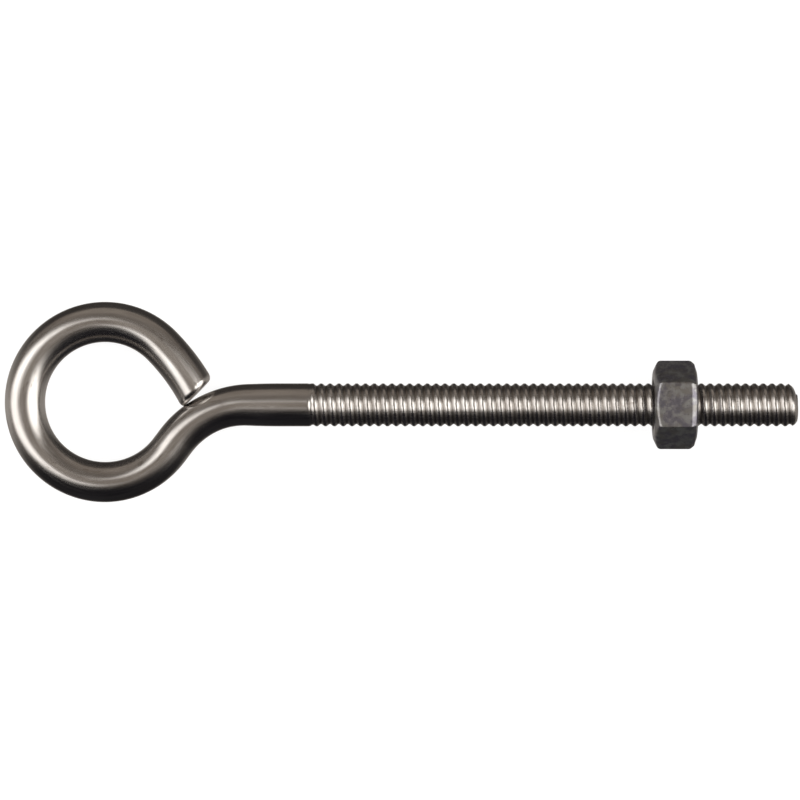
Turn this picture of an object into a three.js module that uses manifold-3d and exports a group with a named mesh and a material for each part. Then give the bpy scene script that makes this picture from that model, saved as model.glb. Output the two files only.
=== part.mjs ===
// A turned eye bolt and its hex nut.
// One steel rod is bent into an open eye, brought back to the shank's axis by a reverse bend at the
// neck, and rolled with a 1/4-20 UNC right-hand thread. A hex nut runs on the thread.
//
// Millimetres, and degrees for angles. The shank lies along X, with the eye at its -X end. The origin
// is the centre of the flat face that ends the thread. The eye lies in the XY plane, and +Z is up.

import * as THREE from 'three';
import { mergeVertices } from 'three/addons/utils/BufferGeometryUtils.js';
import Module from 'manifold-3d';

// Rod.
const ROD_RADIUS = 3.09;
const BEND_THINNING = 0.925; // bending leaves this share of the thickness, in the plane of the bend
const THIN_UNTIL_X = -85.4; // the neck starts to grow back to the full thickness here
const FULL_FROM_X = -74.6;

// Eye. Its angles are counterclockwise from +X, about the eye's centre.
const EYE_CENTRE = new THREE.Vector2(-99.44, 0.41);
const EYE_RADIUS = 11.5; // to the middle of the rod
const OPEN_ANGLE = 44.5; // the round of the eye ends here, towards the free end
const NECK_ANGLE = -37; // and here, towards the neck
const NECK_STRAIGHT = 1.7; // then a reverse bend leads to the shank's axis

// Free end: a slacker arc, cut off at a slant just short of the neck, with its rim chamfered.
const END_ARC_RADIUS = 30;
const END_ARC_SWEEP = 16.2;
const END_SLANT = 16;
const END_SLANT_LENGTH = 6; // the slant is worked into this much of the rod
const END_CHAMFER_LENGTH = 0.9;
const END_CHAMFER_DEPTH = 0.6;

// Thread. Rolling has raised its crests above the rod, and left them broad.
const THREAD_RADIUS = 3.17;
const PITCH = 1.27;
const THREAD_LENGTH = 69.7;
const FLANK_ANGLE = 30; // each flank leans this far from square to the axis
const CREST_SHARE = 0.33; // flats at the crest and the root, as shares of the pitch
const ROOT_SHARE = 0.26;
const LAST_CREST_X = -1.06; // the crest nearest the end, on the +Y side
const RUN_OUT_TURNS = 1.2; // the thread reaches its full depth in this many turns

// Tip: a chamfer, then a blunter cone that leads to a small flat face.
const TIP_CHAMFER_LENGTH = 1.15;
const TIP_CONE_LENGTH = 0.35;
const TIP_CONE_RADIUS = 2.6;
const TIP_FACE_RADIUS = 1.5;

// Nut. Both of its faces are round. A cone leads from the hexagon to the face towards the eye, and
// straight bevels lead to the face towards the tip.
const NUT_ACROSS_FLATS = 11.1;
const NUT_THICKNESS = 6.15;
const NUT_MIDDLE_X = -17.58;
const NUT_FACE_RADIUS = 4.95;
const NUT_CHAMFER_ANGLE = 30;
const NUT_BEVEL_LENGTH = 0.9;
const NUT_BORE_RADIUS = 3.35; // a plain bore, a little wider than the thread, so that the nut can slide
const NUT_COUNTERSINK = 0.35;

// Facets.
const ROD_SIDES = 24;
const STATION_SPACING = 1.9; // between the sections of the bent rod
const TURN_STEPS = 14;
const BORE_SIDES = 36;
const CHAMFER_SIDES = 72;
const PAST = 1; // how far a cut, or a joined end, reaches past the face that it meets
const CORE_GAP = 0.1; // the thread's spigot inside the rod is this much smaller than the root

const ROD_COLOR = 0x8c847c;
const NUT_COLOR = 0x77787c;

const wasm = await Module();
wasm.setup();

const { degToRad } = THREE.MathUtils;

// A manifold-3d solid from a closed geometry.
function solidOf(geometry) {
  const bare = geometry.clone();
  bare.deleteAttribute('normal');
  bare.deleteAttribute('uv');
  const merged = mergeVertices(bare, 1e-4);
  const corners = merged.index.array;
  const triangles = [];
  for (let i = 0; i < corners.length; i += 3) {
    const [a, b, c] = corners.slice(i, i + 3);
    if (a !== b && b !== c && c !== a) triangles.push(a, b, c);
  }
  return new wasm.Manifold(new wasm.Mesh({
    numProp: 3,
    vertProperties: new Float32Array(merged.attributes.position.array),
    triVerts: new Uint32Array(triangles),
  }));
}

function geometryOf(solid) {
  const mesh = solid.getMesh();
  const geometry = new THREE.BufferGeometry();
  geometry.setAttribute('position', new THREE.BufferAttribute(mesh.vertProperties, 3));
  geometry.setIndex(new THREE.BufferAttribute(mesh.triVerts, 1));
  geometry.computeVertexNormals();
  return geometry;
}

// A geometry turned about the X axis. Its [x, radius] points run towards +X, from axis to axis.
function turned(points, sides) {
  const profile = points.map(([x, radius]) => new THREE.Vector2(radius, x));
  return new THREE.LatheGeometry(profile, sides).rotateZ(-Math.PI / 2);
}

function polar(degrees, length) {
  return new THREE.Vector2(length, 0).rotateAround(new THREE.Vector2(), degToRad(degrees));
}

// The rod's middle line: free end, eye, neck, and the plain shank up to the thread.
function rodLine() {
  const openEnd = EYE_CENTRE.clone().add(polar(OPEN_ANGLE, EYE_RADIUS));
  const endArcCentre = openEnd.clone().add(polar(OPEN_ANGLE + 180, END_ARC_RADIUS));
  const neckHeading = NECK_ANGLE + 90;
  const bendStart = EYE_CENTRE.clone()
    .add(polar(NECK_ANGLE, EYE_RADIUS))
    .add(polar(neckHeading, NECK_STRAIGHT));
  const bendRadius = -bendStart.y / (1 - Math.cos(degToRad(neckHeading)));
  const bendCentre = bendStart.clone().add(polar(NECK_ANGLE, bendRadius));

  const line = new THREE.Path();
  line.absarc(
    endArcCentre.x, endArcCentre.y, END_ARC_RADIUS,
    degToRad(OPEN_ANGLE - END_ARC_SWEEP), degToRad(OPEN_ANGLE), false,
  );
  line.absarc(
    EYE_CENTRE.x, EYE_CENTRE.y, EYE_RADIUS,
    degToRad(OPEN_ANGLE), degToRad(360 + NECK_ANGLE), false,
  );
  line.lineTo(bendStart.x, bendStart.y);
  line.absarc(
    bendCentre.x, bendCentre.y, bendRadius,
    degToRad(NECK_ANGLE + 180), degToRad(90), true,
  );
  line.lineTo(-THREAD_LENGTH, 0);
  return line;
}

// The rod is turned straight along X from its free end, then bent onto its middle line.
function bentRod() {
  const line = rodLine();
  const length = line.getLength();
  const profile = [[0, 0], [0, ROD_RADIUS - END_CHAMFER_DEPTH]];
  const stations = Math.round((length - END_CHAMFER_LENGTH) / STATION_SPACING);
  for (let i = 0; i <= stations; i += 1) {
    const x = THREE.MathUtils.lerp(END_CHAMFER_LENGTH, length, i / stations);
    profile.push([x, ROD_RADIUS]);
  }
  profile.push([length, 0]);
  const rod = turned(profile, ROD_SIDES);

  const position = rod.attributes.position;
  for (let i = 0; i < position.count; i += 1) {
    const along = THREE.MathUtils.clamp(position.getX(i) / length, 0, 1);
    const inward = position.getY(i);
    const middle = line.getPoint(along);
    const heading = line.getTangent(along);
    const full = THREE.MathUtils.smoothstep(middle.x, THIN_UNTIL_X, FULL_FROM_X);
    const inNeck = along > 0.5;
    const thickness = THREE.MathUtils.lerp(BEND_THINNING, 1, inNeck ? full : 0);
    const nearEnd = Math.max(0, 1 - position.getX(i) / END_SLANT_LENGTH);
    const back = -inward * Math.tan(degToRad(END_SLANT)) * nearEnd;
    position.setXY(
      i,
      middle.x + heading.x * back - heading.y * inward * thickness,
      middle.y + heading.y * back + heading.x * inward * thickness,
    );
  }
  return solidOf(rod);
}

// A screw surface: four points to a pitch, carried round the axis and closed at both ends by fans.
// It grows out of the plain rod as formedAt(x) goes from 0 to 1.
function endlessThread(grooveDepth, formedAt) {
  const startX = LAST_CREST_X - PITCH * Math.ceil((THREAD_LENGTH + 2 * PAST) / PITCH);
  const turns = Math.ceil((2 * PAST - startX) / PITCH) + 1;
  const steps = turns * TURN_STEPS;
  const profile = [
    [-CREST_SHARE / 2, 0],
    [CREST_SHARE / 2, 0],
    [0.5 - ROOT_SHARE / 2, 1],
    [0.5 + ROOT_SHARE / 2, 1],
  ];
  const points = profile.length;
  const vertices = [];
  for (let step = 0; step <= steps; step += 1) {
    const turn = 2 * Math.PI * (step / TURN_STEPS);
    for (const [share, depth] of profile) {
      const x = startX + PITCH * (step / TURN_STEPS + share);
      const full = THREAD_RADIUS - depth * grooveDepth;
      const radius = THREE.MathUtils.lerp(ROD_RADIUS, full, formedAt(x));
      vertices.push(x, radius * Math.cos(turn), radius * Math.sin(turn));
    }
  }

  // The point after a turn's last one is the first point of the next turn.
  const at = (step, point) => (
    point < points ? step * points + point : (step + TURN_STEPS) * points
  );
  const lastStep = steps - TURN_STEPS;
  const triangles = [];
  for (let step = 0; step < lastStep; step += 1) {
    for (let point = 0; point < points; point += 1) {
      const [a, b] = [at(step, point), at(step + 1, point)];
      const [c, d] = [at(step + 1, point + 1), at(step, point + 1)];
      triangles.push(a, b, c, a, c, d);
    }
  }
  const nearCentre = vertices.length / 3;
  const farCentre = nearCentre + 1;
  vertices.push(startX, 0, 0, startX + PITCH * turns, 0, 0);
  for (let step = 0; step < TURN_STEPS; step += 1) {
    triangles.push(nearCentre, at(step + 1, 0), at(step, 0));
    triangles.push(farCentre, at(lastStep + step, 0), at(lastStep + step + 1, 0));
  }
  for (let point = 0; point < points; point += 1) {
    triangles.push(nearCentre, at(0, point), at(0, point + 1));
    triangles.push(farCentre, at(lastStep, point + 1), at(lastStep, point));
  }

  const geometry = new THREE.BufferGeometry();
  geometry.setAttribute('position', new THREE.Float32BufferAttribute(vertices, 3));
  geometry.setIndex(triangles);
  return geometry;
}

// The threaded end of the rod, with its tip and a spigot that reaches into the plain shank.
function threadedEnd() {
  const flanks = 1 - CREST_SHARE - ROOT_SHARE;
  const depth = (flanks * PITCH) / (2 * Math.tan(degToRad(FLANK_ANGLE)));
  const runOutEnd = -THREAD_LENGTH + RUN_OUT_TURNS * PITCH;
  const formedAt = (x) => THREE.MathUtils.smoothstep(x, -THREAD_LENGTH, runOutEnd);
  const spigotRadius = THREAD_RADIUS - depth - CORE_GAP;
  const blank = turned([
    [-THREAD_LENGTH - PAST, 0],
    [-THREAD_LENGTH - PAST, spigotRadius],
    [-THREAD_LENGTH, spigotRadius],
    [-THREAD_LENGTH, ROD_RADIUS + PAST],
    [-TIP_CHAMFER_LENGTH, ROD_RADIUS + PAST],
    [-TIP_CHAMFER_LENGTH, THREAD_RADIUS],
    [-TIP_CONE_LENGTH, TIP_CONE_RADIUS],
    [0, TIP_FACE_RADIUS],
    [0, 0],
  ], ROD_SIDES);
  return solidOf(endlessThread(depth, formedAt)).intersect(solidOf(blank));
}

function eyeBolt() {
  return geometryOf(bentRod().add(threadedEnd()));
}

// A ring of points at one X, with the first towards +Y.
function ring(x, radius, sides) {
  return Array.from({ length: sides }, (_, i) => {
    const { x: y, y: z } = polar((360 * i) / sides, radius);
    return [x, y, z];
  });
}

// A hexagonal blank with a flat to +Z, bevelled, chamfered, bored and countersunk along X.
function hexNut() {
  const half = NUT_THICKNESS / 2;
  const cornerRadius = NUT_ACROSS_FLATS / (2 * Math.cos(degToRad(30)));
  const blank = wasm.Manifold.hull([
    ...ring(-half, cornerRadius, 6),
    ...ring(half - NUT_BEVEL_LENGTH, cornerRadius, 6),
    ...ring(half, NUT_FACE_RADIUS, CHAMFER_SIDES),
  ]);

  const outerRadius = cornerRadius + PAST;
  const chamferLength = (outerRadius - NUT_FACE_RADIUS) * Math.tan(degToRad(NUT_CHAMFER_ANGLE));
  const chamfer = turned([
    [-half, 0],
    [-half, NUT_FACE_RADIUS],
    [-half + chamferLength, outerRadius],
    [half + PAST, outerRadius],
    [half + PAST, 0],
  ], CHAMFER_SIDES);

  const mouthRadius = NUT_BORE_RADIUS + NUT_COUNTERSINK;
  const bore = turned([
    [-half - PAST, 0],
    [-half - PAST, mouthRadius + PAST],
    [-half + NUT_COUNTERSINK, NUT_BORE_RADIUS],
    [half - NUT_COUNTERSINK, NUT_BORE_RADIUS],
    [half + PAST, mouthRadius + PAST],
    [half + PAST, 0],
  ], BORE_SIDES);
  return geometryOf(blank.intersect(solidOf(chamfer)).subtract(solidOf(bore)));
}

function piece(name, geometry, color, roughness) {
  const material = new THREE.MeshStandardMaterial({ color, roughness, metalness: 1 });
  const mesh = new THREE.Mesh(geometry, material);
  mesh.name = name;
  return mesh;
}

const assembly = new THREE.Group();
assembly.add(piece('eye_bolt', eyeBolt(), ROD_COLOR, 0.3));
const nut = piece('hex_nut', hexNut(), NUT_COLOR, 0.5);
nut.position.x = NUT_MIDDLE_X;
assembly.add(nut);

export default assembly;
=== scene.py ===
"""The looks of a turned eye bolt and its hex nut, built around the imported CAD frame.

The shapes are worked out in millimetres, in the frame of the part: the shank lies along X with its
tip at X = 0 and the eye at -X, the eye is in the XY plane and +Z is up. The rod is made straight
first, in coordinates that the shank keeps, and is then bent onto its middle line.
"""

import math

import bmesh
import bpy
import numpy as np
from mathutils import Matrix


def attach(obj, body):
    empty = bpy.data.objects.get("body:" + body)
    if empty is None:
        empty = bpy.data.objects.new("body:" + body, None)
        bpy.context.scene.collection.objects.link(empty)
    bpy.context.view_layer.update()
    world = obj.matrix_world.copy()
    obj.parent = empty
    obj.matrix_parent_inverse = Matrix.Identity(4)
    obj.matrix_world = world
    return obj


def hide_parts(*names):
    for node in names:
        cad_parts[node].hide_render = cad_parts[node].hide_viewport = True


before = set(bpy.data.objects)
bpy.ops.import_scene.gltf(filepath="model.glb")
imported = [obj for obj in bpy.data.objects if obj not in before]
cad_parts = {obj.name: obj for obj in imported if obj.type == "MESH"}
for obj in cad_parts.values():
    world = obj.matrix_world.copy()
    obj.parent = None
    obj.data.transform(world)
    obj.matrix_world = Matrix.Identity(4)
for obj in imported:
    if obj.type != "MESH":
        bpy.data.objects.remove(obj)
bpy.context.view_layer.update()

MM = 0.001

# Rod, eye and free end. Angles are in degrees, counterclockwise about the eye's centre.
ROD_RADIUS = 3.09
EYE_CENTRE = np.array([-99.44, 0.41])
EYE_RADIUS = 11.5
OPEN_ANGLE = 44.5
NECK_ANGLE = -37.0
NECK_STRAIGHT = 1.7
END_ARC_RADIUS = 30.0
END_ARC_SWEEP = 16.2
END_SLANT = 16.0
END_SLANT_LENGTH = 6.0
END_ROUNDING_LENGTH = 0.95
END_ROUNDING_DEPTH = 0.62
END_ROUNDING_LOOPS = np.array([0.02, 0.07, 0.15, 0.27, 0.42, 0.6, 0.8, 1])

# Bending has thinned the rod in the plane of the eye. These are shares of its thickness: the eye's
# goes over into the neck's from NECK_THINNING_FROM of the way round, and the rod is full again by
# FULL_FROM_X.
EYE_THINNING = 0.937
NECK_THINNING = 0.912
NECK_THINNING_FROM = 0.8
THIN_UNTIL_X = -85.4
FULL_FROM_X = -74.6

# Thread. Straight flanks lead from THREAD_RADIUS down to rounded roots. bolt_mesh cuts the crests
# off flat at ROD_RADIUS, so they don't stand above the rod as the CAD's do.
THREAD_RADIUS = 3.185
PITCH = 1.27
THREAD_LENGTH = 69.7
LAST_CREST_X = -1.06
GROOVE_DEPTH = 0.43
RUN_OUT_START = -70.4
RUN_OUT_TURNS = 1.0
TURN_STEPS = 44
PITCH_STEPS = 16
CREST_SHARE = 0.04
ROOT_SHARE = 0.12

# Tip: (X, radius) points of its outline. It was cut a little out of square.
TIP_OUTLINE = [(-1.5, 3.3), (-1.0, 3.08), (-0.6, 2.8), (-0.3, 2.45), (-0.1, 2.0), (0.0, 1.5)]
TIP_LEAN = 0.09
BEYOND_THE_ROD = 9.0

# Nut. It has a chamfer towards the eye, and a soft bevel with a narrow rim towards the tip. The
# bevel drops more at the corners than at the flats.
NUT_ACROSS_FLATS = 11.1
NUT_HALF = 3.075
NUT_MIDDLE_X = -17.58
NUT_FACE_RADIUS = 4.95
NUT_CHAMFER_ANGLE = 25.0
NUT_BEVEL_LENGTH = 0.84
NUT_BEVEL_DROP = 0.26
NUT_BEVEL_EXTRA_DROP = 0.3
NUT_RIM_LENGTH = 0.25
NUT_EDGE_ROUNDING = [0.4, 0.7, 0.7, 0.4, 0.2]
NUT_CORNER_ROUNDING = 0.3
NUT_MOUTH_RADIUS = 3.7
NUT_MAJOR_RADIUS = 3.25
NUT_MINOR_RADIUS = 2.80
NUT_PITCH_STEPS = 12
FLAT_STEPS = 19
FILLET_STEPS = 6
BLANK_BORE_RADIUS = 2.0
CUTTER_OVERRUN = 0.8
JOIN_DISTANCE = 0.001

# The camera looks straight down.
CAMERA_X = -57.05
CAMERA_Y = 0.70
CAMERA_DISTANCE = 600.0
VIEW_WIDTH = 114.96


def smoothstep(x, low, high):
    t = np.clip((x - low) / (high - low), 0, 1)
    return t * t * (3 - 2 * t)


# ---------------------------------------------------------------- the rod's middle line


def unit(heading):
    return np.stack([np.cos(heading), np.sin(heading)], -1)


def left_of(heading):
    return np.stack([-np.sin(heading), np.cos(heading)], -1)


def travel(point, heading, curvature, length):
    """Where a path of one curvature has got to after each length, and its heading there."""
    length = np.asarray(length, float)
    turned = heading + curvature * length
    if curvature == 0:
        return point + length[..., None] * unit(heading), turned
    centre = point + left_of(heading) / curvature
    return centre - left_of(turned) / curvature, turned


def rod_stretches():
    """The middle line, free end to tip: (start, heading, curvature, length) of each stretch."""
    end_length = END_ARC_RADIUS * math.radians(END_ARC_SWEEP)
    open_point = EYE_CENTRE + EYE_RADIUS * unit(math.radians(OPEN_ANGLE))
    open_heading = math.radians(OPEN_ANGLE + 90)
    point, heading = travel(open_point, open_heading, 1 / END_ARC_RADIUS, -end_length)

    neck = math.radians(NECK_ANGLE)
    neck_heading = neck + math.pi / 2
    bend_start = EYE_CENTRE + EYE_RADIUS * unit(neck) + NECK_STRAIGHT * unit(neck_heading)
    bend_radius = -bend_start[1] / (1 - math.cos(neck_heading))
    bend_end_x = bend_start[0] + bend_radius * math.sin(neck_heading)

    stretches = []
    for curvature, length in [
        (1 / END_ARC_RADIUS, end_length),
        (1 / EYE_RADIUS, EYE_RADIUS * math.radians(360 + NECK_ANGLE - OPEN_ANGLE)),
        (0, NECK_STRAIGHT),
        (-1 / bend_radius, bend_radius * neck_heading),
        (0, -bend_end_x),
    ]:
        stretches.append((point, heading, curvature, length))
        point, heading = travel(point, float(heading), curvature, length)
    return stretches


STRETCHES = rod_stretches()
ROD_LENGTH = sum(length for *_, length in STRETCHES)


def bent(straight):
    """Straight-rod points (X from -ROD_LENGTH to 0) carried onto the middle line."""
    along = straight[:, 0] + ROD_LENGTH
    middle = np.zeros((len(along), 2))
    heading = np.zeros(len(along))
    begin = 0.0
    for i, (point, start_heading, curvature, length) in enumerate(STRETCHES):
        inside = np.ones(len(along), bool)
        if i > 0:
            inside &= along >= begin
        if i < len(STRETCHES) - 1:
            inside &= along < begin + length
        middle[inside], heading[inside] = travel(
            point, float(start_heading), curvature, along[inside] - begin
        )
        begin += length

    end_length, eye_length = STRETCHES[0][3], STRETCHES[1][3]
    in_eye = along < end_length + eye_length
    to_neck = smoothstep(
        along, end_length + NECK_THINNING_FROM * eye_length, end_length + eye_length
    )
    thin = EYE_THINNING + (NECK_THINNING - EYE_THINNING) * to_neck
    full = np.where(in_eye, 0, smoothstep(middle[:, 0], THIN_UNTIL_X, FULL_FROM_X))
    thickness = thin + (1 - thin) * full

    sideways = straight[:, 1]
    near_end = np.maximum(0, 1 - along / END_SLANT_LENGTH)
    back = -sideways * math.tan(math.radians(END_SLANT)) * near_end
    plane = (
        middle
        + back[:, None] * unit(heading)
        + (sideways * thickness)[:, None] * left_of(heading)
    )
    return np.column_stack([plane, straight[:, 2]])


# ---------------------------------------------------------------- meshes


def coordinates(mesh):
    flat = np.zeros(len(mesh.vertices) * 3, np.float32)
    mesh.vertices.foreach_get("co", flat)
    return flat.reshape(-1, 3).astype(float)


def set_coordinates(mesh, points):
    mesh.vertices.foreach_set("co", points.astype(np.float32).ravel())
    mesh.update()


def add_attribute(mesh, name, kind, values):
    attribute = mesh.attributes.new(name, kind, "POINT")
    field = "vector" if kind == "FLOAT_VECTOR" else "value"
    attribute.data.foreach_set(field, np.asarray(values, np.float32).ravel())


def thread_profile(steps):
    """One pitch from crest to crest: (share of the pitch, share of the groove's depth)."""
    full = (1 - CREST_SHARE - ROOT_SHARE) / 2
    profile = []
    for i in range(steps):
        share = i / steps
        from_crest = min(share, 1 - share)
        from_root = 0.5 - from_crest
        if from_crest < CREST_SHARE:
            depth = from_crest**2 / (2 * CREST_SHARE)
        elif from_root < ROOT_SHARE:
            depth = full - from_root**2 / (2 * ROOT_SHARE)
        else:
            depth = from_crest - CREST_SHARE / 2
        profile.append((share, depth / full))
    return profile


def screw_mesh(name, profile, radius_at, start_x, end_x, loops_at=()):
    """A solid screw from start_x to end_x. radius_at gives the radius for each X and profile depth.

    The grid runs along the helix, so its rows follow the crests. It is made a little too long, cut
    square at both ends and closed. loops_at are X where it also gets a ring of edges.
    """
    columns = len(profile)
    first_turn = math.floor((start_x - LAST_CREST_X) / PITCH) - 1
    last_turn = math.ceil((end_x - LAST_CREST_X) / PITCH) + 1
    rows = (last_turn - first_turn) * TURN_STEPS + 1
    shares = np.array([share for share, _ in profile])
    depths = np.array([depth for _, depth in profile])
    row = np.arange(rows + TURN_STEPS)
    x = LAST_CREST_X + PITCH * (first_turn + row[:, None] / TURN_STEPS + shares[None, :])
    turn = np.repeat(2 * np.pi * row[:, None] / TURN_STEPS, columns, axis=1)
    radius = radius_at(x, np.broadcast_to(depths, x.shape))
    points = np.column_stack(
        [x.ravel(), (radius * np.cos(turn)).ravel(), (radius * np.sin(turn)).ravel()]
    )

    here = np.arange(rows - 1)[:, None] * columns + np.arange(columns)[None, :]
    right = here + 1
    right[:, -1] = (np.arange(rows - 1) + TURN_STEPS) * columns
    faces = np.stack([here, here + columns, right + columns, right], -1).reshape(-1, 4)

    used = np.zeros(len(points), bool)
    used[faces.ravel()] = True
    index = np.cumsum(used) - 1
    mesh = bpy.data.meshes.new(name)
    mesh.from_pydata(points[used].tolist(), [], index[faces].tolist())

    bm = bmesh.new()
    bm.from_mesh(mesh)
    for plane_x, outwards in [(start_x, -1), (end_x, 1)] + [(at, 0) for at in loops_at]:
        bmesh.ops.bisect_plane(
            bm,
            geom=bm.verts[:] + bm.edges[:] + bm.faces[:],
            dist=1e-4,
            plane_co=(plane_x, 0, 0),
            plane_no=(outwards or 1, 0, 0),
            clear_outer=outwards != 0,
        )
    bmesh.ops.holes_fill(bm, edges=[e for e in bm.edges if e.is_boundary], sides=0)
    bmesh.ops.recalc_face_normals(bm, faces=bm.faces[:])
    bm.to_mesh(mesh)
    bm.free()
    return mesh


def place(name, mesh, body, node, material, sharp_angle):
    """Puts a finished mesh into the scene as the piece that stands for a CAD node."""
    mesh.shade_smooth()
    mesh.set_sharp_from_angle(angle=math.radians(sharp_angle))
    mesh.materials.append(material)
    piece = bpy.data.objects.new(name, mesh)
    bpy.context.scene.collection.objects.link(piece)
    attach(piece, body)
    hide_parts(node)


def bolt_mesh():
    """The whole rod: screwed and chamfered while straight, then bent."""

    def radius_at(x, depth):
        formed = smoothstep(x, RUN_OUT_START, RUN_OUT_START + RUN_OUT_TURNS * PITCH)
        return ROD_RADIUS + (THREAD_RADIUS - ROD_RADIUS - GROOVE_DEPTH * depth) * formed

    end_loops = -ROD_LENGTH + END_ROUNDING_LENGTH * END_ROUNDING_LOOPS
    mesh = screw_mesh("bolt", thread_profile(PITCH_STEPS), radius_at, -ROD_LENGTH, 0.0, end_loops)
    straight = coordinates(mesh)
    radius = np.hypot(straight[:, 1], straight[:, 2])
    groove = np.clip((THREAD_RADIUS - radius) / GROOVE_DEPTH, 0, 1)
    groove[straight[:, 0] < -THREAD_LENGTH] = 0

    # The tip is domed, and the free end's rim is rounded like a quarter of an ellipse. Away from
    # that rim "rounded" is ROD_RADIUS, and it cuts off the crests of the thread too.
    tip_x, tip_radius = np.transpose(TIP_OUTLINE)
    leaning_x = straight[:, 0] + TIP_LEAN * straight[:, 1]
    cone = np.interp(leaning_x, tip_x, tip_radius, left=BEYOND_THE_ROD)
    from_end = np.clip((straight[:, 0] + ROD_LENGTH) / END_ROUNDING_LENGTH, 0, 1)
    rounded = ROD_RADIUS - END_ROUNDING_DEPTH * (1 - np.sqrt(1 - (1 - from_end) ** 2))
    limit = np.minimum(cone, rounded)
    straight[:, 1:] *= (np.minimum(radius, limit) / np.maximum(radius, 1e-9))[:, None]

    set_coordinates(mesh, bent(straight) * MM)
    add_attribute(mesh, "straight_mm", "FLOAT_VECTOR", straight)
    add_attribute(mesh, "groove", "FLOAT", groove)
    return mesh


def hexagon_columns():
    """Angle and radius of points round the hexagon, with its corners rounded. A flat faces +Z."""
    apothem = NUT_ACROSS_FLATS / 2
    half_side = apothem * math.tan(math.radians(30))
    flat_end = half_side - NUT_CORNER_ROUNDING * math.tan(math.radians(30))
    points = []
    for side in range(6):
        turn = math.radians(60 * side + 90)
        for along in np.linspace(-flat_end, flat_end, FLAT_STEPS):
            points.append((turn, np.array([apothem, along])))
        centre = np.array([apothem - NUT_CORNER_ROUNDING, flat_end])
        for swing in np.radians([12, 24, 36, 48]):
            points.append((turn, centre + NUT_CORNER_ROUNDING * unit(swing)))
    angles, radii = [], []
    for turn, (outwards, along) in points:
        angles.append(turn + math.atan2(along, outwards))
        radii.append(math.hypot(along, outwards))
    return np.array(angles), np.array(radii)


def filleted(corners, rounding):
    """An open line through 2-D corners, with the inner ones rounded. rounding has their radii."""
    line = [corners[0]]
    for before, corner, after, radius in zip(corners, corners[1:], corners[2:], rounding):
        into = (corner - before) / np.linalg.norm(corner - before)
        out = (after - corner) / np.linalg.norm(after - corner)
        turn = math.acos(np.clip(into @ out, -1, 1))
        reach = radius * math.tan(turn / 2)
        start, end = corner - into * reach, corner + out * reach
        for t in np.linspace(0, 1, FILLET_STEPS):
            line.append((1 - t) ** 2 * start + 2 * t * (1 - t) * corner + t**2 * end)
    line.append(corners[-1])
    return line


def nut_blank():
    """The nut's outside, with a plain bore that the thread cutter then opens."""
    angles, radii = hexagon_columns()
    lean = math.tan(math.radians(NUT_CHAMFER_ANGLE))
    grid = []
    for angle, radius in zip(angles, radii):
        chamfer_x = -NUT_HALF + (radius - NUT_FACE_RADIUS) * lean
        drop = NUT_BEVEL_DROP + NUT_BEVEL_EXTRA_DROP * (radius - NUT_ACROSS_FLATS / 2)
        corners = [
            np.array([-NUT_HALF, BLANK_BORE_RADIUS]),
            np.array([-NUT_HALF, NUT_FACE_RADIUS]),
            np.array([chamfer_x, radius]),
            np.array([NUT_HALF - NUT_BEVEL_LENGTH, radius]),
            np.array([NUT_HALF - NUT_RIM_LENGTH, radius - drop]),
            np.array([NUT_HALF, NUT_FACE_RADIUS]),
            np.array([NUT_HALF, BLANK_BORE_RADIUS]),
        ]
        line = filleted(corners, NUT_EDGE_ROUNDING)
        grid.append([(x, r * math.cos(angle), r * math.sin(angle)) for x, r in line])
    grid = np.array(grid)
    count, rows = grid.shape[:2]
    mesh = bpy.data.meshes.new("nut")
    here = np.arange(count)[:, None] * rows + np.arange(rows)[None, :]
    ahead = np.roll(here, -1, axis=0)
    sides = np.stack([here[:, :-1], ahead[:, :-1], ahead[:, 1:], here[:, 1:]], -1).reshape(-1, 4)
    bore = np.stack([here[:, -1], ahead[:, -1], ahead[:, 0], here[:, 0]], -1)
    mesh.from_pydata(grid.reshape(-1, 3).tolist(), [], np.concatenate([sides, bore]).tolist())
    bm = bmesh.new()
    bm.from_mesh(mesh)
    bmesh.ops.recalc_face_normals(bm, faces=bm.faces[:])
    bm.to_mesh(mesh)
    bm.free()
    return mesh


def nut_mesh():
    """The nut, with its internal thread cut in step with the bolt's."""

    def radius_at(x, depth):
        thread = NUT_MAJOR_RADIUS + (NUT_MINOR_RADIUS - NUT_MAJOR_RADIUS) * depth
        past_face = np.abs(x - NUT_MIDDLE_X) - NUT_HALF
        return np.maximum(thread, NUT_MOUTH_RADIUS + past_face)

    cutter_mesh = screw_mesh(
        "cutter",
        thread_profile(NUT_PITCH_STEPS),
        radius_at,
        NUT_MIDDLE_X - NUT_HALF - CUTTER_OVERRUN,
        NUT_MIDDLE_X + NUT_HALF + CUTTER_OVERRUN,
    )
    blank = nut_blank()
    shifted = coordinates(blank)
    shifted[:, 0] += NUT_MIDDLE_X
    set_coordinates(blank, shifted)

    cutter = bpy.data.objects.new("cutter", cutter_mesh)
    body = bpy.data.objects.new("nut_blank", blank)
    for o in (cutter, body):
        bpy.context.scene.collection.objects.link(o)
    cut = body.modifiers.new("thread", "BOOLEAN")
    cut.operation = "DIFFERENCE"
    cut.solver = "EXACT"
    cut.object = cutter
    evaluated = body.evaluated_get(bpy.context.evaluated_depsgraph_get())
    mesh = bpy.data.meshes.new_from_object(evaluated)
    for o in (cutter, body):
        bpy.data.objects.remove(o)

    # The cut leaves a few points a hair apart, and those are joined.
    bm = bmesh.new()
    bm.from_mesh(mesh)
    bmesh.ops.remove_doubles(bm, verts=bm.verts[:], dist=JOIN_DISTANCE)
    bmesh.ops.dissolve_degenerate(bm, dist=JOIN_DISTANCE, edges=bm.edges[:])
    bmesh.ops.triangulate(bm, faces=[f for f in bm.faces if len(f.verts) > 4])
    bm.to_mesh(mesh)
    bm.free()

    points = coordinates(mesh)
    set_coordinates(mesh, points * MM)
    add_attribute(mesh, "straight_mm", "FLOAT_VECTOR", points)
    return mesh


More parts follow.
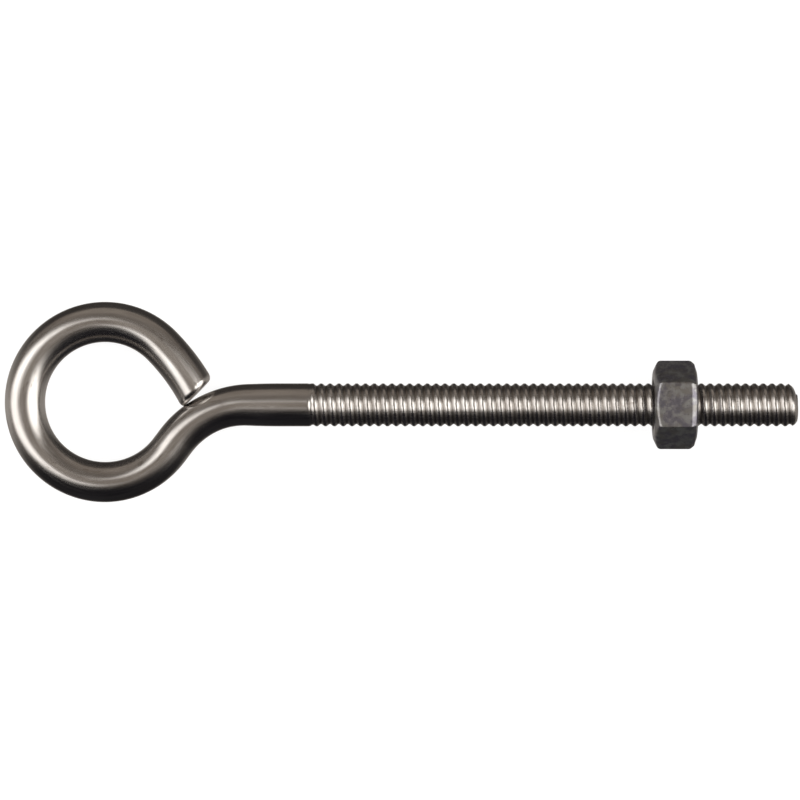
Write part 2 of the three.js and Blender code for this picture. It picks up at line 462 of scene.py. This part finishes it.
# ---------------------------------------------------------------- node helpers


class Tree:
    """Short ways to add nodes and link them."""

    def __init__(self, nodes_of):
        nodes_of.use_nodes = True
        self.tree = nodes_of.node_tree
        self.tree.nodes.clear()

    def node(self, kind, **settings):
        made = self.tree.nodes.new(kind)
        for name, value in settings.items():
            setattr(made, name, value)
        return made

    def feed(self, socket, value):
        if isinstance(value, bpy.types.NodeSocket):
            self.tree.links.new(value, socket)
        elif value is not None:
            socket.default_value = value

    def math(self, operation, a, b=None):
        made = self.node("ShaderNodeMath", operation=operation)
        self.feed(made.inputs[0], a)
        self.feed(made.inputs[1], b)
        return made.outputs[0]

    def ramp(self, value, low, high, to_low=0.0, to_high=1.0):
        """to_low at low, going smoothly to to_high at high."""
        made = self.node("ShaderNodeMapRange", interpolation_type="SMOOTHSTEP")
        self.feed(made.inputs["Value"], value)
        for name, number in (
            ("From Min", low), ("From Max", high), ("To Min", to_low), ("To Max", to_high)
        ):
            made.inputs[name].default_value = number
        return made.outputs["Result"]

    def colours(self, factor, a, b):
        """Colour a where the factor is 0, and b where it is 1."""
        made = self.node("ShaderNodeMix", data_type="RGBA")
        self.feed(made.inputs[0], factor)
        self.feed(made.inputs[6], a if isinstance(a, bpy.types.NodeSocket) else (*a, 1))
        self.feed(made.inputs[7], b if isinstance(b, bpy.types.NodeSocket) else (*b, 1))
        return made.outputs[2]

    def noise(self, vector, scale, detail, roughness=0.55, stretch=(1, 1, 1), offset=(0, 0, 0)):
        mapping = self.node("ShaderNodeMapping")
        self.feed(mapping.inputs["Vector"], vector)
        mapping.inputs["Scale"].default_value = stretch
        mapping.inputs["Location"].default_value = offset
        made = self.node("ShaderNodeTexNoise")
        self.feed(made.inputs["Vector"], mapping.outputs[0])
        made.inputs["Scale"].default_value = scale
        made.inputs["Detail"].default_value = detail
        made.inputs["Roughness"].default_value = roughness
        return made.outputs["Fac"]

    def bump(self, height, strength, distance_mm, normal=None):
        made = self.node("ShaderNodeBump")
        made.inputs["Strength"].default_value = strength
        made.inputs["Distance"].default_value = distance_mm * MM
        self.feed(made.inputs["Height"], height)
        self.feed(made.inputs["Normal"], normal)
        return made.outputs[0]


def metal(t, base_color, roughness, normal, metallic=1.0):
    shader = t.node("ShaderNodeBsdfPrincipled")
    shader.inputs["Metallic"].default_value = metallic
    t.feed(shader.inputs["Base Color"], base_color)
    t.feed(shader.inputs["Roughness"], roughness)
    t.feed(shader.inputs["Normal"], normal)
    out = t.node("ShaderNodeOutputMaterial")
    t.feed(out.inputs["Surface"], shader.outputs[0])


def bolt_material():
    """Drawn and bent steel: fine lines along the rod, soft changes of tone, and darker thread roots
    that are partly dirt and partly painted shade.
    """
    material = bpy.data.materials.new("bolt_steel")
    t = Tree(material)
    straight = t.node("ShaderNodeAttribute", attribute_name="straight_mm").outputs["Vector"]
    groove = t.node("ShaderNodeAttribute", attribute_name="groove").outputs["Fac"]

    tone = t.noise(straight, 0.5, detail=4, stretch=(0.22, 1, 1))
    scuffs = t.noise(straight, 1.1, detail=5, roughness=0.65, stretch=(0.3, 1, 1), offset=(4, 9, 2))
    lines = t.noise(straight, 5.0, detail=4, stretch=(0.05, 1, 1), offset=(3, 1, 7))
    grain = t.noise(straight, 9.0, detail=2, offset=(1, 5, 2))

    base = t.colours(t.ramp(tone, 0.35, 0.65), (0.52, 0.495, 0.475), (0.66, 0.64, 0.62))
    base = t.colours(t.ramp(scuffs, 0.58, 0.72), base, (0.40, 0.37, 0.345))
    # Painted shade, with some dirt: the thread's roots are darkened towards the bottom of each
    # groove.
    base = t.colours(t.ramp(groove, 0.5, 1.0, 0, 0.8), base, (0.25, 0.22, 0.195))
    roughness = t.math(
        "ADD", t.ramp(lines, 0.3, 0.7, 0.19, 0.27), t.math("MULTIPLY", groove, 0.10)
    )
    normal = t.bump(lines, 0.18, 0.02)
    normal = t.bump(grain, 0.10, 0.02, normal)
    metal(t, base, roughness, normal)
    return material


def nut_material():
    """Duller steel with a mottled, slightly bluish face."""
    material = bpy.data.materials.new("nut_steel")
    t = Tree(material)
    place_mm = t.node("ShaderNodeAttribute", attribute_name="straight_mm").outputs["Vector"]
    mottle = t.noise(place_mm, 0.9, detail=4, roughness=0.6)
    tint = t.noise(place_mm, 0.45, detail=2, offset=(5, 2, 9))
    blotch = t.noise(place_mm, 0.7, detail=3, roughness=0.6, offset=(9, 4, 1))
    pits = t.noise(place_mm, 4.5, detail=3, roughness=0.6, offset=(2, 8, 4))

    base = t.colours(t.ramp(tint, 0.38, 0.62), (0.20, 0.19, 0.225), (0.27, 0.26, 0.245))
    base = t.colours(t.ramp(mottle, 0.42, 0.66), base, (0.36, 0.36, 0.36))
    base = t.colours(t.ramp(blotch, 0.56, 0.70), base, (0.19, 0.18, 0.19))
    roughness = t.ramp(pits, 0.3, 0.7, 0.27, 0.4)
    normal = t.bump(pits, 0.3, 0.03)
    normal = t.bump(mottle, 0.35, 0.08, normal)
    metal(t, base, roughness, normal, metallic=0.86)
    return material


place(
    "eye_bolt_rod",
    bolt_mesh(),
    body="bolt",
    node="eye_bolt",
    material=bolt_material(),
    sharp_angle=40,
)
place(
    "hex_nut_threaded",
    nut_mesh(),
    body="nut",
    node="hex_nut",
    material=nut_material(),
    sharp_angle=32,
)


# ---------------------------------------------------------------- floor, light and camera


def make_floor():
    """A pale table under the bolt, which rests on its ring and on its nut's lower flat.

    The nut reaches lower than the rod, so the table leans a little.
    """
    ring_x = EYE_CENTRE[0] - EYE_RADIUS
    lower_flat_start = 0.45
    nut_x = NUT_MIDDLE_X - NUT_HALF + lower_flat_start
    drop = ROD_RADIUS - NUT_ACROSS_FLATS / 2
    slope = drop / (nut_x - ring_x)
    clear = 0.02
    size = 3000.0
    corners = [
        (x, y, -ROD_RADIUS - clear + slope * (x - ring_x))
        for x, y in ((-size, -size), (size, -size), (size, size), (-size, size))
    ]
    mesh = bpy.data.meshes.new("floor")
    mesh.from_pydata((np.array(corners) * MM).tolist(), [], [(0, 1, 2, 3)])
    material = bpy.data.materials.new("floor_white")
    t = Tree(material)
    glow = t.node("ShaderNodeEmission")
    glow.inputs["Strength"].default_value = 0.92
    diffuse = t.node("ShaderNodeBsdfDiffuse")
    diffuse.inputs["Color"].default_value = (0.25, 0.25, 0.25, 1)
    both = t.node("ShaderNodeAddShader")
    t.feed(both.inputs[0], glow.outputs[0])
    t.feed(both.inputs[1], diffuse.outputs[0])
    out = t.node("ShaderNodeOutputMaterial")
    t.feed(out.inputs["Surface"], both.outputs[0])
    mesh.materials.append(material)
    floor = bpy.data.objects.new("floor", mesh)
    floor.visible_glossy = False
    bpy.context.scene.collection.objects.link(floor)


def make_world():
    """Soft studio light: two white panels, towards -X and +X, in a room that is grey towards +Y.

    Swing is the angle from straight up towards +X, and tilt the angle towards +Y, both in degrees.
    The left panel has a gap where the camera hangs. The room is nearly black towards -Y, with a dip
    in its grey at a tilt of 34. Below the table's level it is dark, with a paler strip at tilt 0.
    """
    world = bpy.data.worlds.new("studio")
    bpy.context.scene.world = world
    t = Tree(world)
    direction = t.node("ShaderNodeTexCoord").outputs["Generated"]
    split = t.node("ShaderNodeSeparateXYZ")
    t.feed(split.inputs[0], direction)
    x, y, z = split.outputs
    degrees = 180 / math.pi
    swing = t.math("MULTIPLY", t.math("ARCTAN2", x, z), degrees)
    tilt = t.math("MULTIPLY", t.math("ARCSINE", y), degrees)

    def ellipse(middle, half_width, half_height, soft):
        """1 inside an ellipse of swing and tilt, falling smoothly to 0 across its rim."""
        across = t.math("DIVIDE", t.math("SUBTRACT", swing, middle), half_width)
        along = t.math("DIVIDE", tilt, half_height)
        squares = t.math("ADD", t.math("POWER", across, 2), t.math("POWER", along, 2))
        return t.ramp(t.math("SQRT", squares), 1 + soft, 1 - soft)

    camera_gap = ellipse(middle=-4, half_width=37, half_height=16, soft=0.35)
    outside_gap = t.math("SUBTRACT", 1, camera_gap)
    left = ellipse(middle=-41, half_width=42, half_height=29, soft=0.28)
    left_panel = t.math("MULTIPLY", left, outside_gap)
    right_panel = ellipse(middle=53, half_width=32, half_height=20, soft=0.3)
    back = t.ramp(tilt, -48, 0)
    under = t.ramp(t.math("ABSOLUTE", t.math("ADD", swing, 5)), 88, 100)
    strip = t.ramp(t.math("ABSOLUTE", tilt), 38, 0)
    dip = t.ramp(t.math("ABSOLUTE", t.math("SUBTRACT", tilt, 34)), 30, 6, 0, 0.75)

    front_black, back_grey = (0.009, 0.0085, 0.011), (0.285, 0.248, 0.215)
    dip_grey = (0.125, 0.108, 0.095)
    room = t.colours(back, front_black, back_grey)
    room = t.colours(dip, room, dip_grey)
    left_white, right_white = (2.25, 2.19, 2.12), (2.7, 2.63, 2.53)
    lit = t.colours(left_panel, room, left_white)
    lit = t.colours(right_panel, lit, right_white)
    below_black, below_grey = (0.018, 0.017, 0.019), (0.05, 0.045, 0.042)
    strip_grey = (0.43, 0.40, 0.37)
    below = t.colours(back, below_black, below_grey)
    below = t.colours(strip, below, strip_grey)
    lit = t.colours(under, lit, below)

    light = t.node("ShaderNodeBackground")
    t.feed(light.inputs["Color"], lit)
    white = t.node("ShaderNodeBackground")
    white.inputs["Color"].default_value = (1, 1, 1, 1)
    path = t.node("ShaderNodeLightPath")
    mix = t.node("ShaderNodeMixShader")
    t.feed(mix.inputs[0], path.outputs["Is Camera Ray"])
    t.feed(mix.inputs[1], light.outputs[0])
    t.feed(mix.inputs[2], white.outputs[0])
    out = t.node("ShaderNodeOutputWorld")
    t.feed(out.inputs["Surface"], mix.outputs[0])


def make_camera():
    """Straight above the bolt, with the eye to the left."""
    data = bpy.data.cameras.new("camera")
    data.sensor_width = 36.0
    data.lens = data.sensor_width * CAMERA_DISTANCE / VIEW_WIDTH
    data.clip_start = 0.01
    data.clip_end = 20.0
    camera = bpy.data.objects.new("camera", data)
    camera.location = (CAMERA_X * MM, CAMERA_Y * MM, CAMERA_DISTANCE * MM)
    bpy.context.scene.collection.objects.link(camera)
    bpy.context.scene.camera = camera


make_floor()
make_world()
make_camera()
bpy.context.scene.view_settings.view_transform = "Standard"
